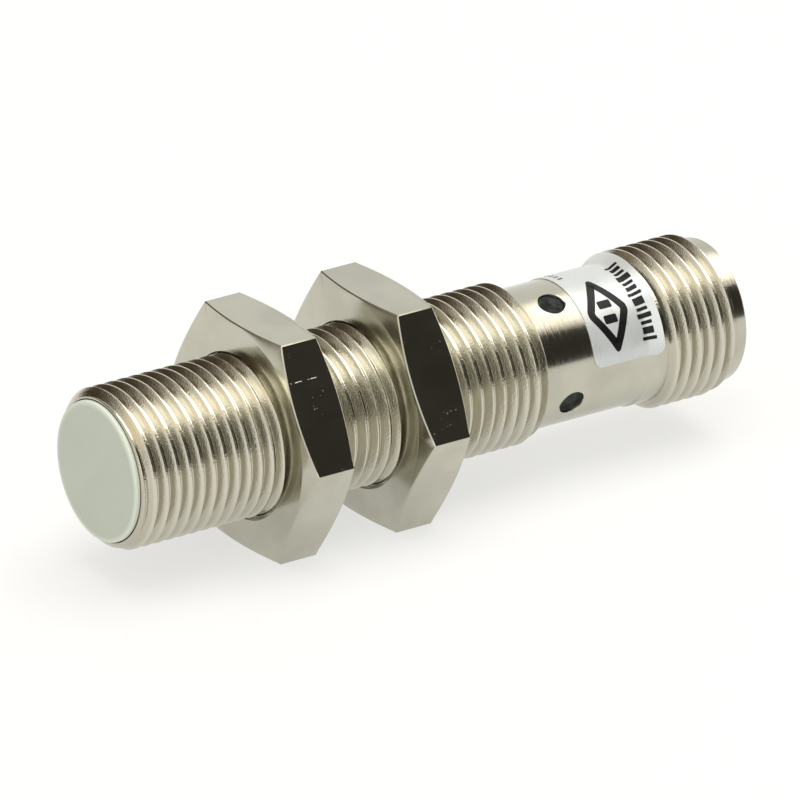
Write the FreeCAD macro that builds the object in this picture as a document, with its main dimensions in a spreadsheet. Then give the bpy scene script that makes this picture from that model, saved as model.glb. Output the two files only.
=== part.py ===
import FreeCAD, Part
import Sketcher
import math
import os

# An M12 x 1 inductive proximity sensor with a plug end and two hexagon nuts, in millimetres.
# The sensor's axis is X, from the middle of the sensing face at the origin back to the plug. Z is up.
doc = FreeCAD.newDocument("proximity_sensor")

# ---------------------------------------------------------------- driving dimensions
# Stations along the axis end in _at, radii in _radius. Every other size is bound to these cells.
DRIVING = {
    # threads
    "crest_radius": 6.0,
    "root_radius": 5.459,
    "pitch": 1.0,
    "crest_flat": 0.125,
    "thread_over": 0.1,
    # housing
    "cap_lip": 0.35,
    "rim_radius": 5.4,
    "front_groove_at": -0.79,
    "thread_end_at": 34.9,
    "sleeve_at": 35.5,
    "sleeve_radius": 5.25,
    "cone_at": 44.3,
    "plug_thread_at": 45.6,
    "plug_groove_at": 45.55,
    "collar_at": 51.75,
    "collar_radius": 5.4,
    "collar_slope": 0.2,
    "overall": 53.0,
    "edge_break": 0.15,
    "cap_bore_radius": 4.8,
    "cap_bore_end_at": 8.4,
    "bore_radius": 4.6,
    "plug_bore_at": 44.6,
    "plug_bore_radius": 4.85,
    # indicator windows
    "window_at": 37.9,
    "window_radius": 1.0,
    "window_mouth_radius": 1.2,
    "window_turn": 23.5,
    "window_sink": 0.28,
    # sensing cap
    "cap_radius": 5.2,
    "cap_edge": 0.3,
    "cap_face": 0.6,
    "cap_skirt_radius": 4.78,
    "cap_inner_radius": 4.4,
    "cap_end_at": 8.2,
    # coil and core
    "core_at": 0.65,
    "core_radius": 4.35,
    "core_depth": 3.0,
    "core_groove": 2.2,
    "core_groove_radius": 3.6,
    "core_post_radius": 1.5,
    "core_hole_radius": 0.4,
    "coil_clearance": 0.05,
    "flange": 0.2,
    "hub_wall": 0.2,
    "winding_margin": 0.1,
    "lead_radius": 0.12,
    "lead_side": 3.2,
    "lead_hole_radius": 0.3,
    "lead_reach": 4.0,
    "holder_floor": 0.8,
    "holder_radius": 3.9,
    # circuit board
    "board_end_at": 40.0,
    "board_width": 7.6,
    "board_thick": 0.8,
    # light guide and label
    "guide_at": 36.0,
    "guide_end_at": 39.8,
    "guide_radius": 3.95,
    "film": 0.06,
    "label_at": 39.6,
    "label_start": 86.5,
    "label_wrap": 170.0,
    "label_up_cone": 1.1,
    # plug insert
    "insert_at": 41.0,
    "insert_floor_at": 44.8,
    "insert_end_at": 52.7,
    "insert_play": 0.02,
    "socket_radius": 4.3,
    "seal_at": 42.2,
    "seal_width": 1.0,
    "seal_floor_radius": 3.7,
    "key_width": 1.3,
    "key_depth": 0.7,
    "pin_radius": 0.5,
    "pin_circle": 2.5,
    "pin_at": 40.4,
    "pin_end_at": 52.0,
    "wire_radius": 0.2,
    "wire_at": 39.2,
    "wire_bend": 0.5,
    # hexagon nuts
    "across_flats": 17.0,
    "nut_thick": 4.0,
    "nut_bore_radius": 6.05,
    "nut_mouth_radius": 6.6,
    "nut_face_radius": 8.35,
    "nut_corner_drop": 0.5,
    "front_nut_at": 12.0,
    "rear_nut_at": 22.0,
}

sheet = doc.addObject("Spreadsheet::Sheet", "size")
for row, (alias, number) in enumerate(DRIVING.items(), start=1):
    sheet.set(f"A{row}", alias)
    sheet.set(f"B{row}", str(number))
    sheet.setAlias(f"B{row}", alias)
doc.recompute()


class Size:
    """A number and the expression that gives it, so that a sketch starts right and stays bound."""

    def __init__(self, number, words):
        self.number, self.words = number, words

    def joined(self, sign, other, number):
        return Size(number, f"({self.words} {sign} {as_size(other).words})")

    def __add__(self, other):
        return self.joined("+", other, self.number + as_size(other).number)

    def __sub__(self, other):
        return self.joined("-", other, self.number - as_size(other).number)

    def __mul__(self, other):
        return self.joined("*", other, self.number * as_size(other).number)

    def __truediv__(self, other):
        return self.joined("/", other, self.number / as_size(other).number)


def as_size(value):
    return value if isinstance(value, Size) else Size(float(value), f"{float(value)}")


def cell(alias):
    """The driving dimension of that name."""
    return Size(DRIVING[alias], f"size.{alias}")


def bind(thing, name, value):
    """Sets a property from a size and binds it to the spreadsheet."""
    thing.setExpression(name, as_size(value).words)


# ---------------------------------------------------------------- ways of making a piece
NEAR = 0.001
TAN_30, COS_45 = 0.57735, 0.70711
MIRRORED = (1, -1)
ALONG_AXIS = FreeCAD.Placement(
    FreeCAD.Vector(0, 0, 0), FreeCAD.Rotation(FreeCAD.Vector(0, 1, 0), 90)
)


def origin_plane(body, role):
    return next(o for o in body.Origin.OriginFeatures if o.Role == role)


def sketch_on(body, role, name):
    sketch = body.newObject("Sketcher::SketchObject", name)
    sketch.AttachmentSupport = [(origin_plane(body, role), "")]
    sketch.MapMode = "FlatFace"
    return sketch


def draw_outline(sketch, corners):
    """A closed outline of straight lines, each corner held by two bound distances."""
    places = [FreeCAD.Vector(as_size(a).number, as_size(b).number, 0) for a, b in corners]
    first = sketch.GeometryCount
    for i, place in enumerate(places):
        sketch.addGeometry(Part.LineSegment(place, places[(i + 1) % len(places)]), False)
    for i, (a, b) in enumerate(corners):
        line, previous = first + i, first + (i - 1) % len(corners)
        sketch.addConstraint(Sketcher.Constraint("Coincident", previous, 2, line, 1))
        for kind, size in (("DistanceX", as_size(a)), ("DistanceY", as_size(b))):
            number = sketch.addConstraint(
                Sketcher.Constraint(kind, -1, 1, line, 1, size.number)
            )
            bind(sketch, f"Constraints[{number}]", size)


def draw_circle(sketch, across, up, radius):
    """A circle whose middle and radius are bound."""
    across, up, radius = as_size(across), as_size(up), as_size(radius)
    middle = FreeCAD.Vector(across.number, up.number, 0)
    circle = sketch.addGeometry(
        Part.Circle(middle, FreeCAD.Vector(0, 0, 1), radius.number), False
    )
    for kind, size in (("DistanceX", across), ("DistanceY", up)):
        number = sketch.addConstraint(Sketcher.Constraint(kind, -1, 1, circle, 3, size.number))
        bind(sketch, f"Constraints[{number}]", size)
    number = sketch.addConstraint(Sketcher.Constraint("Radius", circle, radius.number))
    bind(sketch, f"Constraints[{number}]", radius)


def turned(label, corners, angle=360):
    """A body turned about the sensor's axis from (station, radius) corners."""
    body = doc.addObject("PartDesign::Body", label)
    sketch = sketch_on(body, "XY_Plane", f"{label}_outline")
    draw_outline(sketch, corners)
    turn = body.newObject("PartDesign::Revolution", f"{label}_turned")
    turn.Profile = sketch
    turn.ReferenceAxis = (sketch, ["H_Axis"])
    bind(turn, "Angle", angle)
    return body


def cut_through(body, sketch, name):
    """Cuts a sketch on the YZ plane right through a body, both ways."""
    pocket = body.newObject("PartDesign::Pocket", name)
    pocket.Profile = sketch
    pocket.Type = "ThroughAll"
    pocket.Midplane = True
    return pocket


def turn_groove(body, sketch, name):
    groove = body.newObject("PartDesign::Groove", name)
    groove.Profile = sketch
    groove.ReferenceAxis = (sketch, ["V_Axis"])
    groove.Angle = 360
    return groove


def cut_thread(body, start, end, name):
    """A right-hand 60 degree thread groove between two stations, of the standard M12 x 1 form."""
    crest, root, over = cell("crest_radius"), cell("root_radius"), cell("thread_over")
    half_root = cell("crest_flat")
    half_top = half_root + (crest + over - root) * TAN_30
    sketch = sketch_on(body, "XY_Plane", f"{name}_form")
    draw_outline(
        sketch,
        [
            (start - half_top, crest + over),
            (start - half_root, root),
            (start + half_root, root),
            (start + half_top, crest + over),
        ],
    )
    helix = body.newObject("PartDesign::SubtractiveHelix", name)
    helix.Profile = sketch
    helix.ReferenceAxis = (sketch, ["H_Axis"])
    helix.Mode = "pitch-height-angle"
    bind(helix, "Pitch", cell("pitch"))
    bind(helix, "Height", end - start)
    return helix


def brick(label, station, side, low, long, wide, tall):
    """A box with its near corner at (station, side, low)."""
    box = doc.addObject("Part::Box", label)
    sizes = {"Length": long, "Width": wide, "Height": tall}
    sizes |= {"Placement.Base.x": station, "Placement.Base.y": side, "Placement.Base.z": low}
    for name, value in sizes.items():
        bind(box, name, value)
    return box


def rod(label, station, side, level, radius, long):
    """A round rod along the sensor's axis, starting at a station."""
    cylinder = doc.addObject("Part::Cylinder", label)
    cylinder.Placement = ALONG_AXIS
    sizes = {"Radius": radius, "Height": long}
    sizes |= {"Placement.Base.x": station, "Placement.Base.y": side, "Placement.Base.z": level}
    for name, value in sizes.items():
        bind(cylinder, name, value)
    return cylinder


def gathered(label, pieces):
    """Separate pieces that share one node."""
    group = doc.addObject("Part::Compound", label)
    group.Links = pieces
    return group


def round_edges(body, base, edges, radius, name):
    fillet = body.newObject("PartDesign::Fillet", name)
    fillet.Base = (base, edges)
    bind(fillet, "Radius", radius)
    return fillet


def ring_edges(feature, station, radius):
    """The names of a feature's circular edges at a station, of that radius."""
    return [
        f"Edge{number}"
        for number, edge in enumerate(feature.Shape.Edges, start=1)
        if isinstance(edge.Curve, Part.Circle)
        and abs(edge.Curve.Center.x - station) < NEAR
        and abs(edge.Curve.Radius - radius) < NEAR
    ]


# ---------------------------------------------------------------- housing
# One brass tube: the front thread, a plain sleeve with four indicator windows, and the plug thread.
crest = cell("crest_radius")
rim, sleeve = cell("rim_radius"), cell("sleeve_radius")
lip, overall = cell("cap_lip"), cell("overall")
collar, edge_break = cell("collar_radius"), cell("edge_break")
collar_at = cell("collar_at")
housing = turned(
    "housing_barrel",
    [
        (lip, cell("cap_bore_radius")),
        (lip, rim),
        (lip + (crest - rim), crest),
        (cell("thread_end_at"), crest),
        (cell("sleeve_at"), sleeve),
        (cell("cone_at"), sleeve),
        (cell("plug_thread_at"), crest),
        (collar_at - cell("collar_slope"), crest),
        (collar_at, collar),
        (overall - edge_break, collar),
        (overall, collar - edge_break),
        (overall, cell("plug_bore_radius")),
        (cell("plug_bore_at"), cell("plug_bore_radius")),
        (cell("plug_bore_at"), cell("bore_radius")),
        (cell("cap_bore_end_at"), cell("bore_radius")),
        (cell("cap_bore_end_at"), cell("cap_bore_radius")),
    ],
)

# Each window is a round hole with a small countersunk mouth, turned about its own radial axis.
window_form = sketch_on(housing, "XZ_Plane", "window_form")
window_form.AttachmentOffset = FreeCAD.Placement(
    FreeCAD.Vector(0, 0, 0), FreeCAD.Rotation(FreeCAD.Vector(1, 0, 0), DRIVING["window_turn"])
)
bind(window_form, "AttachmentOffset.Base.x", cell("window_at"))
bind(window_form, "AttachmentOffset.Rotation.Angle", cell("window_turn"))
hole, mouth = cell("window_radius"), cell("window_mouth_radius")
draw_outline(
    window_form,
    [
        (0, cell("root_radius") / 2),
        (hole, cell("root_radius") / 2),
        (hole, sleeve - (mouth - hole)),
        (mouth, sleeve),
        (mouth, crest),
        (0, crest),
    ],
)
window = turn_groove(housing, window_form, "window_hole")
doc.recompute()
windows = housing.newObject("PartDesign::PolarPattern", "window_holes")
windows.Originals = [window]
windows.Axis = (origin_plane(housing, "X_Axis"), [""])
windows.Angle = 360
windows.Occurrences = 4
housing.Tip = windows
doc.recompute()
half_pitch = cell("pitch") / 2
cut_thread(housing, cell("front_groove_at"), cell("sleeve_at") + half_pitch, "front_thread")
cut_thread(housing, cell("plug_groove_at"), collar_at + half_pitch / 2, "plug_thread")

# ---------------------------------------------------------------- sensing cap
# A plastic cup: the flat sensing face with a rounded edge, and a skirt pressed into the tube.
cap_radius = cell("cap_radius")
cap = turned(
    "sensing_cap",
    [
        (0, 0),
        (0, cap_radius),
        (lip, cap_radius),
        (lip, cell("cap_skirt_radius")),
        (cell("cap_end_at"), cell("cap_skirt_radius")),
        (cell("cap_end_at"), cell("cap_inner_radius")),
        (cell("cap_face"), cell("cap_inner_radius")),
        (cell("cap_face"), 0),
    ],
)
doc.recompute()
face_edge = ring_edges(cap.Tip, 0, DRIVING["cap_radius"])
round_edges(cap, cap.Tip, face_edge, cell("cap_edge"), "face_edge")

# ---------------------------------------------------------------- coil and core
# A ferrite pot core open towards the sensing face, with the wound bobbin in its groove.
core_at, core_radius = cell("core_at"), cell("core_radius")
core_back = core_at + cell("core_depth")
groove_end = core_at + cell("core_groove")
lead_side = cell("lead_side")
lead_level = cell("board_thick") / 2 + cell("lead_radius")


def drill_lead_holes(body, name):
    """Two holes for the coil's leads."""
    sketch = sketch_on(body, "YZ_Plane", f"{name}_places")
    for side in MIRRORED:
        draw_circle(sketch, lead_side * side, lead_level, cell("lead_hole_radius"))
    cut_through(body, sketch, name)


core = turned(
    "ferrite_core",
    [
        (core_at, cell("core_hole_radius")),
        (core_at, cell("core_post_radius")),
        (groove_end, cell("core_post_radius")),
        (groove_end, cell("core_groove_radius")),
        (core_at, cell("core_groove_radius")),
        (core_at, core_radius),
        (core_back, core_radius),
        (core_back, cell("core_hole_radius")),
    ],
)
drill_lead_holes(core, "core_lead_holes")

clear = cell("coil_clearance")
hub = cell("core_post_radius") + clear
hub_top = hub + cell("hub_wall")
bobbin_at, bobbin_end = core_at + clear, groove_end - clear
flange, flange_radius = cell("flange"), cell("core_groove_radius") - clear
turned(
    "coil_bobbin",
    [
        (bobbin_at, hub),
        (bobbin_at, flange_radius),
        (bobbin_at + flange, flange_radius),
        (bobbin_at + flange, hub_top),
        (bobbin_end - flange, hub_top),
        (bobbin_end - flange, flange_radius),
        (bobbin_end, flange_radius),
        (bobbin_end, hub),
    ],
)
winding_radius = flange_radius - cell("winding_margin")
turned(
    "coil_winding",
    [
        (bobbin_at + flange, hub_top),
        (bobbin_at + flange, winding_radius),
        (bobbin_end - flange, winding_radius),
        (bobbin_end - flange, hub_top),
    ],
)
leads = [
    rod(f"coil_lead_{number}", bobbin_end, lead_side * side, lead_level,
        cell("lead_radius"), cell("lead_reach"))
    for number, side in enumerate(MIRRORED, start=1)
]
gathered("coil_leads", leads)

# The holder backs the core and takes the end of the circuit board.
board_at = core_back + cell("holder_floor")
holder = turned(
    "core_holder",
    [
        (core_back, 0),
        (core_back, core_radius),
        (cell("cap_end_at"), core_radius),
        (cell("cap_end_at"), cell("holder_radius")),
        (board_at, cell("holder_radius")),
        (board_at, 0),
    ],
)
drill_lead_holes(holder, "holder_lead_holes")

# ---------------------------------------------------------------- circuit board and its parts
board_wide, board_thick = cell("board_width"), cell("board_thick")
board_top, board_under = board_thick / 2, board_thick / -2
brick(
    "circuit_board", board_at, board_wide / -2, board_under,
    cell("board_end_at") - board_at, board_wide, board_thick,
)


def on_board(label, station, side, long, wide, tall, below=False):
    """A component standing on the board, its near end at a station, centred on a side offset."""
    level = board_under - tall if below else board_top
    return brick(label, station, as_size(side) - as_size(wide) / 2, level, long, wide, tall)


# Each row holds a part's station and side offset, then its length, width and height.
BOARD_PARTS = {
    "oscillator_chip": (11.0, 0.0, 5.0, 4.0, 1.5),
    "tantalum_capacitor": (18.5, 0.0, 3.2, 1.6, 1.6),
    "output_transistor": (24.5, 0.0, 2.9, 1.6, 1.1),
    "protection_diode": (30.0, 0.0, 4.3, 2.6, 2.1),
}
for part_label, part_sizes in BOARD_PARTS.items():
    on_board(part_label, *part_sizes)

# The small parts stand in two rows under the board: first station, spacing, side offset and size.
CERAMIC_AT, CERAMIC_SPACING, CERAMIC_SIDE, CERAMIC = 9.0, 6.0, -2.0, (1.6, 0.8, 0.8)
RESISTOR_AT, RESISTOR_SPACING, RESISTOR_SIDE, RESISTOR = 10.0, 4.0, 2.0, (1.6, 0.8, 0.45)
LED_SIDE, LED = 1.4, (1.6, 0.8, 0.6)


def row_under_board(label, count, first, spacing, side, sizes):
    """A row of equal parts soldered under the board."""
    parts = [
        on_board(f"{label}_{n}", first + spacing * n, side, *sizes, below=True)
        for n in range(count)
    ]
    gathered(label, parts)


row_under_board("ceramic_capacitors", 4, CERAMIC_AT, CERAMIC_SPACING, CERAMIC_SIDE, CERAMIC)
row_under_board("chip_resistors", 6, RESISTOR_AT, RESISTOR_SPACING, RESISTOR_SIDE, RESISTOR)
lamps = []
for side in MIRRORED:
    for below in (False, True):
        lamp_at = cell("window_at") - LED[0] / 2
        lamps.append(on_board(f"lamp_{len(lamps)}", lamp_at, LED_SIDE * side, *LED, below))
gathered("indicator_leds", lamps)

# ---------------------------------------------------------------- light guide and window lenses
bore = cell("bore_radius")
inner_play = bore - cell("insert_play")
turned(
    "light_guide",
    [
        (cell("guide_at"), cell("guide_radius")),
        (cell("guide_at"), inner_play),
        (cell("guide_end_at"), inner_play),
        (cell("guide_end_at"), cell("guide_radius")),
    ],
)
lenses = []
for number in range(4):
    lens = doc.addObject("PartDesign::Body", f"window_lens_{number}")
    lens_form = sketch_on(lens, "XZ_Plane", f"window_lens_{number}_outline")
    lens_form.AttachmentOffset = FreeCAD.Placement(
        FreeCAD.Vector(0, 0, 0), FreeCAD.Rotation(FreeCAD.Vector(1, 0, 0), 1)
    )
    bind(lens_form, "AttachmentOffset.Base.x", cell("window_at"))
    bind(lens_form, "AttachmentOffset.Rotation.Angle", cell("window_turn") + 90 * number)
    lens_radius = hole - cell("insert_play")
    lens_top = sleeve - cell("window_sink")
    draw_outline(lens_form, [(0, bore), (lens_radius, bore), (lens_radius, lens_top), (0, lens_top)])
    turn = lens.newObject("PartDesign::Revolution", f"window_lens_{number}_turned")
    turn.Profile = lens_form
    turn.ReferenceAxis = (lens_form, ["V_Axis"])
    turn.Angle = 360
    lenses.append(lens)
gathered("window_lenses", lenses)

# ---------------------------------------------------------------- rating label
# A film around the sleeve whose rear edge rides up the cone.
film = cell("film")
climb = cell("label_up_cone")
cone_rise = (crest - sleeve) / (cell("plug_thread_at") - cell("cone_at"))
label_end = cell("cone_at") + climb
label_top = sleeve + cone_rise * climb
label = turned(
    "rating_label",
    [
        (cell("label_at"), sleeve),
        (cell("label_at"), sleeve + film),
        (cell("cone_at"), sleeve + film),
        (label_end, label_top + film),
        (label_end, label_top),
        (cell("cone_at"), sleeve),
    ],
    cell("label_wrap"),
)
label.Placement = FreeCAD.Placement(
    FreeCAD.Vector(0, 0, 0), FreeCAD.Rotation(FreeCAD.Vector(1, 0, 0), 1)
)
bind(label, "Placement.Rotation.Angle", cell("label_start") + 90 - cell("label_wrap"))

# ---------------------------------------------------------------- plug insert, pins and wires
play = cell("insert_play")
seal_end = cell("seal_at") + cell("seal_width")
liner = cell("plug_bore_radius") - play
insert = turned(
    "contact_carrier",
    [
        (cell("insert_at"), 0),
        (cell("insert_at"), inner_play),
        (cell("seal_at"), inner_play),
        (cell("seal_at"), cell("seal_floor_radius")),
        (seal_end, cell("seal_floor_radius")),
        (seal_end, inner_play),
        (cell("plug_bore_at"), inner_play),
        (cell("plug_bore_at"), liner),
        (cell("insert_end_at"), liner),
        (cell("insert_end_at"), cell("socket_radius")),
        (cell("insert_floor_at"), cell("socket_radius")),
        (cell("insert_floor_at"), 0),
    ],
)
key_form = sketch_on(insert, "XY_Plane", "key_form")
key_form.AttachmentOffset = FreeCAD.Placement(FreeCAD.Vector(0, 0, 1), FreeCAD.Rotation())
bind(key_form, "AttachmentOffset.Base.z", cell("socket_radius") - cell("key_depth"))
key_side = cell("key_width") / 2
draw_outline(
    key_form,
    [
        (cell("insert_floor_at"), key_side * -1),
        (cell("insert_end_at"), key_side * -1),
        (cell("insert_end_at"), key_side),
        (cell("insert_floor_at"), key_side),
    ],
)
key = insert.newObject("PartDesign::Pad", "key")
key.Profile = key_form
bind(key, "Length", cell("key_depth") + play * 4)

pin_offset = cell("pin_circle") * COS_45
CORNERS = ((1, 1), (-1, 1), (-1, -1), (1, -1))
pin_places = sketch_on(insert, "YZ_Plane", "pin_places")
for across, up in CORNERS:
    draw_circle(pin_places, pin_offset * across, pin_offset * up, cell("pin_radius"))
cut_through(insert, pin_places, "pin_holes")

pin_radius = cell("pin_radius")


def bent_wire(label, side, level, up):
    """A wire from the back of a pin, along the axis and round a bend, down or up to the board."""
    wire = doc.addObject("PartDesign::Body", label)
    bend, wire_at, pin_at = cell("wire_bend"), cell("wire_at"), cell("pin_at")
    corner_at, corner_level = wire_at + bend, level - bend * up
    path = sketch_on(wire, "XZ_Plane", f"{label}_path")
    ends = (
        ((pin_at, level), (corner_at, level)),
        ((wire_at, corner_level), (wire_at, board_top * up)),
    )
    for line, places in enumerate(ends):
        first, last = (FreeCAD.Vector(a.number, b.number, 0) for a, b in places)
        path.addGeometry(Part.LineSegment(first, last), False)
        for point, (along, high) in enumerate(places, start=1):
            for kind, size in (("DistanceX", along), ("DistanceY", high)):
                number = path.addConstraint(
                    Sketcher.Constraint(kind, -1, 1, line, point, size.number)
                )
                bind(path, f"Constraints[{number}]", size)
    middle = FreeCAD.Vector(corner_at.number, corner_level.number, 0)
    circle = Part.Circle(middle, FreeCAD.Vector(0, 0, 1), bend.number)
    quarter, half = math.pi / 2, math.pi
    if up > 0:
        arc = path.addGeometry(Part.ArcOfCircle(circle, quarter, half), False)
        line_ends = ((1, 0, 2), (2, 1, 1))
    else:
        arc = path.addGeometry(Part.ArcOfCircle(circle, half, half + quarter), False)
        line_ends = ((2, 0, 2), (1, 1, 1))
    for arc_end, line, line_end in line_ends:
        path.addConstraint(Sketcher.Constraint("Coincident", arc, arc_end, line, line_end))
    number = path.addConstraint(Sketcher.Constraint("Radius", arc, bend.number))
    bind(path, f"Constraints[{number}]", bend)
    section = sketch_on(wire, "YZ_Plane", f"{label}_section")
    section.AttachmentOffset = FreeCAD.Placement(FreeCAD.Vector(0, 0, 1), FreeCAD.Rotation())
    bind(section, "AttachmentOffset.Base.z", pin_at)
    draw_circle(section, 0, level, cell("wire_radius"))
    pipe = wire.newObject("PartDesign::AdditivePipe", f"{label}_pipe")
    pipe.Profile = section
    pipe.Spine = (path, ["Edge1", "Edge3", "Edge2"])
    bind(wire, "Placement.Base.y", side)
    return wire


wires = []
for number, (across, up) in enumerate(CORNERS, start=1):
    side, level = pin_offset * across, pin_offset * up
    pin = doc.addObject("PartDesign::Body", f"contact_pin_{number}")
    pin_form = sketch_on(pin, "XY_Plane", f"contact_pin_{number}_outline")
    tip = pin_radius / 2
    draw_outline(
        pin_form,
        [
            (cell("pin_at"), 0),
            (cell("pin_at"), pin_radius),
            (cell("pin_end_at") - tip, pin_radius),
            (cell("pin_end_at"), tip),
            (cell("pin_end_at"), 0),
        ],
    )
    turn = pin.newObject("PartDesign::Revolution", f"contact_pin_{number}_turned")
    turn.Profile = pin_form
    turn.ReferenceAxis = (pin_form, ["H_Axis"])
    turn.Angle = 360
    bind(pin, "Placement.Base.y", side)
    bind(pin, "Placement.Base.z", level)

    wires.append(bent_wire(f"contact_wire_{number}", side, level, up))
gathered("contact_wires", wires)

seal = doc.addObject("Part::Torus", "insert_seal")
seal.Placement = ALONG_AXIS
seal_thick = (inner_play - cell("seal_floor_radius")) / 2 - play / 2
bind(seal, "Radius2", seal_thick)
bind(seal, "Radius1", (inner_play + cell("seal_floor_radius")) / 2)
bind(seal, "Placement.Base.x", cell("seal_at") + cell("seal_width") / 2)

# ---------------------------------------------------------------- hexagon nuts
# Both faces are chamfered to a circle just inside the flats. The bore runs clear of the crests.


def hexagon_nut(label, station):
    thick, drop = cell("nut_thick"), cell("nut_corner_drop")
    nut_bore, nut_mouth = cell("nut_bore_radius"), cell("nut_mouth_radius")
    corner = cell("across_flats") * TAN_30
    sink = nut_mouth - nut_bore
    nut = turned(
        label,
        [
            (0, nut_mouth),
            (0, cell("nut_face_radius")),
            (drop, corner),
            (thick - drop, corner),
            (thick, cell("nut_face_radius")),
            (thick, nut_mouth),
            (thick - sink, nut_bore),
            (sink, nut_bore),
        ],
    )
    flats = sketch_on(nut, "YZ_Plane", f"{label}_flats")
    half = cell("across_flats") / 2
    draw_outline(
        flats,
        [
            (corner, 0),
            (corner / 2, half),
            (corner / -2, half),
            (corner * -1, 0),
            (corner / -2, half * -1),
            (corner / 2, half * -1),
        ],
    )
    draw_circle(flats, 0, 0, corner * 1.5)
    cut_through(nut, flats, f"{label}_hexagon")
    bind(nut, "Placement.Base.x", station)
    return nut


hexagon_nut("front_nut", cell("front_nut_at"))
hexagon_nut("rear_nut", cell("rear_nut_at"))

# ---------------------------------------------------------------- potting resin
# The resin fills the tube around the board and its parts, from the cap to the plug insert.
doc.recompute()
fill = rod("resin_fill", cell("cap_end_at"), 0, 0, inner_play, cell("insert_at") - cell("cap_end_at"))
SUNK = (
    "circuit_board", "oscillator_chip", "tantalum_capacitor", "output_transistor",
    "protection_diode", "ceramic_capacitors", "chip_resistors", "indicator_leds", "light_guide",
    "contact_wires", "contact_pin_1", "contact_pin_2", "contact_pin_3", "contact_pin_4",
)
mould = gathered("resin_mould", [doc.getObject(label) for label in SUNK])
resin = doc.addObject("Part::Cut", "potting_resin")
resin.Base, resin.Tool = fill, mould

# ---------------------------------------------------------------- checks and files
NODES = (
    "housing_barrel", "sensing_cap", "ferrite_core", "coil_bobbin", "coil_winding", "coil_leads",
    "core_holder", "circuit_board", "oscillator_chip", "tantalum_capacitor", "output_transistor",
    "protection_diode", "ceramic_capacitors", "chip_resistors", "indicator_leds", "light_guide",
    "window_lenses", "rating_label", "contact_carrier", "insert_seal", "contact_wires",
    "contact_pin_1", "contact_pin_2", "contact_pin_3", "contact_pin_4", "potting_resin",
    "front_nut", "rear_nut",
)
doc.recompute()
for piece in doc.Objects:
    if "Invalid" in piece.State or "Error" in piece.State:
        raise RuntimeError(f"{piece.Label} did not compute: {piece.State}")
os.makedirs("parts", exist_ok=True)
for label in NODES:
    shape = doc.getObject(label).Shape
    if shape.isNull() or not shape.isValid():
        raise RuntimeError(f"{label} has no valid shape")
    shape.exportStep(f"parts/{label}.step")
    print(label, len(shape.Solids), round(shape.Volume, 2))
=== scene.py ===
import math

import bpy
import bmesh
from mathutils import Matrix, Vector


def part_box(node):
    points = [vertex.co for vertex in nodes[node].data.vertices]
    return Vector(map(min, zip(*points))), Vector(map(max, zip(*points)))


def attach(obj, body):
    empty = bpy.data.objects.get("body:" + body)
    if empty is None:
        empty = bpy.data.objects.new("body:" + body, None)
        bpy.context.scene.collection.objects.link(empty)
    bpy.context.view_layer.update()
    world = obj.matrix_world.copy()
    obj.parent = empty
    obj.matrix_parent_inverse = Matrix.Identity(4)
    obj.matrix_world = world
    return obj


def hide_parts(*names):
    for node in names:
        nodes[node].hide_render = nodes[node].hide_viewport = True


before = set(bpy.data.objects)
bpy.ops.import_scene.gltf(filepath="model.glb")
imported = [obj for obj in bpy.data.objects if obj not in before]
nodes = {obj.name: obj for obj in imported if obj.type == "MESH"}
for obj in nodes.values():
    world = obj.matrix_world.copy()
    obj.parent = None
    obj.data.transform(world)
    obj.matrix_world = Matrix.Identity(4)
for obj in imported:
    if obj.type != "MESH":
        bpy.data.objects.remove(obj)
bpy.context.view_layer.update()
MM = 0.001

# ------------------------------------------------------------------ table, light and camera
# The sensor lies on the bottom flats of its nuts on a plain pale table, seen from the front left
# and a little above through a long lens. None of this belongs to the sensor.
scene = bpy.context.scene
scene.view_settings.view_transform = "Standard"
table_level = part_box("front_nut")[0].z
barrel_low, barrel_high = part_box("housing_barrel")
sensor_end = barrel_high.x

bpy.ops.object.select_all(action="DESELECT")
bpy.ops.mesh.primitive_plane_add(size=6, location=(0, 0, table_level))
table = bpy.context.object
table.name = "table"


def place_node(tree, kind, inputs=None, **settings):
    """Adds a node; inputs give each socket a value or another node's output."""
    node = tree.nodes.new(kind)
    for name, value in settings.items():
        setattr(node, name, value)
    for socket, value in (inputs or {}).items():
        if isinstance(value, bpy.types.NodeSocket):
            tree.links.new(value, node.inputs[socket])
        else:
            node.inputs[socket].default_value = value
    return node


def calculate(tree, operation, first, second=0.0):
    """One step of arithmetic on two values."""
    return place_node(tree, "ShaderNodeMath", {0: first, 1: second}, operation=operation).outputs[0]


def spread(tree, value, start, end, low=0.0, high=1.0):
    """A smooth change from low to high as the value goes from start to end."""
    inputs = {0: value, 1: start, 2: end, 3: low, 4: high}
    return place_node(tree, "ShaderNodeMapRange", inputs, interpolation_type="SMOOTHSTEP").outputs[0]


def blend_colours(tree, cover, under, over):
    """The over colour laid on the under colour as far as the cover says."""
    inputs = {0: cover, 1: under, 2: over}
    return place_node(tree, "ShaderNodeMixRGB", inputs).outputs[0]


def surface(name, colour, rough, metal=0.0):
    """A material with one shader; gives the material, its node tree and the shader."""
    material = bpy.data.materials.new(name)
    material.use_nodes = True
    tree = material.node_tree
    shader = tree.nodes["Principled BSDF"]
    shader.inputs["Base Color"].default_value = (*colour, 1)
    shader.inputs["Roughness"].default_value = rough
    shader.inputs["Metallic"].default_value = metal
    return material, tree, shader


def wear(piece, material):
    """Gives a piece one material all over."""
    piece.data.materials.clear()
    piece.data.materials.append(material)


def object_place(tree):
    """The place on the piece, in metres."""
    return place_node(tree, "ShaderNodeTexCoord").outputs["Object"]


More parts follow.
